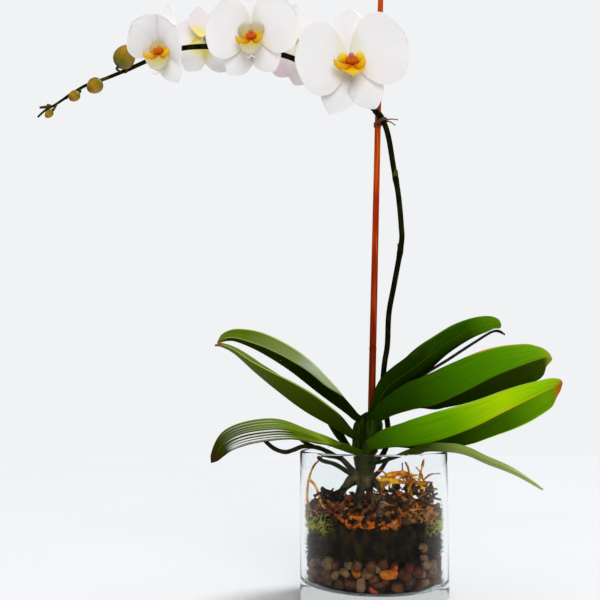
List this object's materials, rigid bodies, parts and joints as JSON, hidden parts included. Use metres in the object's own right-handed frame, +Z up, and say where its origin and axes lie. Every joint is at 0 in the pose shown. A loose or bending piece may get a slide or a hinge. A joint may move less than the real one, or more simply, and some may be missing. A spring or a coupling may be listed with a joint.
{
  "type": "potted moth orchid",
  "caption": "White moth orchid with an arching flower spike tied to a cane, rooted in bark, moss and pebbles in a clear glass cylinder vase.",
  "frame": {"origin": "centre of the vase's flat underside", "axes": "+Z up, +X to the right in the picture along the fan of leaves, -Y towards the viewer"},
  "size_m": [0.5442, 0.1647, 0.6901],
  "materials": {
    "clear_glass": "clear polished glass",
    "river_pebbles": "smooth river pebbles in brown, maroon, tan and orange",
    "dark_moss": "packed dark moss",
    "orchid_bark": "rough fir bark chunks",
    "root_skin": "dull grey-brown root skin",
    "dried_root": "dry orange root strands",
    "leaf_green": "glossy leathery leaf",
    "red_cane": "stained cane",
    "spike_green": "dark green-brown stalk",
    "raffia": "twisted raffia",
    "petal_white": "soft white petal",
    "lip_yellow": "yellow lip with red marks",
    "bud_olive": "closed olive bud"
  },
  "bodies": {
    "root": {"glass_vase": "clear_glass", "pebble_bed": "river_pebbles", "moss_layer": "dark_moss", "bark_mix": "orchid_bark", "plant_roots": "root_skin", "dry_roots_left": "dried_root", "dry_roots_right": "dried_root", "plant_stem": "leaf_green", "leaf_left_upper": "leaf_green", "leaf_left_middle": "leaf_green", "leaf_left_lower": "leaf_green", "leaf_left_back": "leaf_green", "leaf_right_upper": "leaf_green", "leaf_right_middle": "leaf_green", "leaf_right_lower": "leaf_green", "leaf_right_lowest": "leaf_green", "leaf_right_back": "leaf_green", "cane_stake": "red_cane", "flower_spike": "spike_green", "spike_tie": "raffia", "bloom_1_petals": "petal_white", "bloom_1_lip": "lip_yellow", "bloom_2_petals": "petal_white", "bloom_2_lip": "lip_yellow", "bloom_3_petals": "petal_white", "bloom_3_lip": "lip_yellow", "bloom_4_petals": "petal_white", "bloom_4_lip": "lip_yellow", "bloom_5_petals": "petal_white", "bloom_5_lip": "lip_yellow", "bud_1": "bud_olive", "bud_2": "bud_olive", "bud_3": "bud_olive", "bud_4": "bud_olive"}
  },
  "joints": []
}
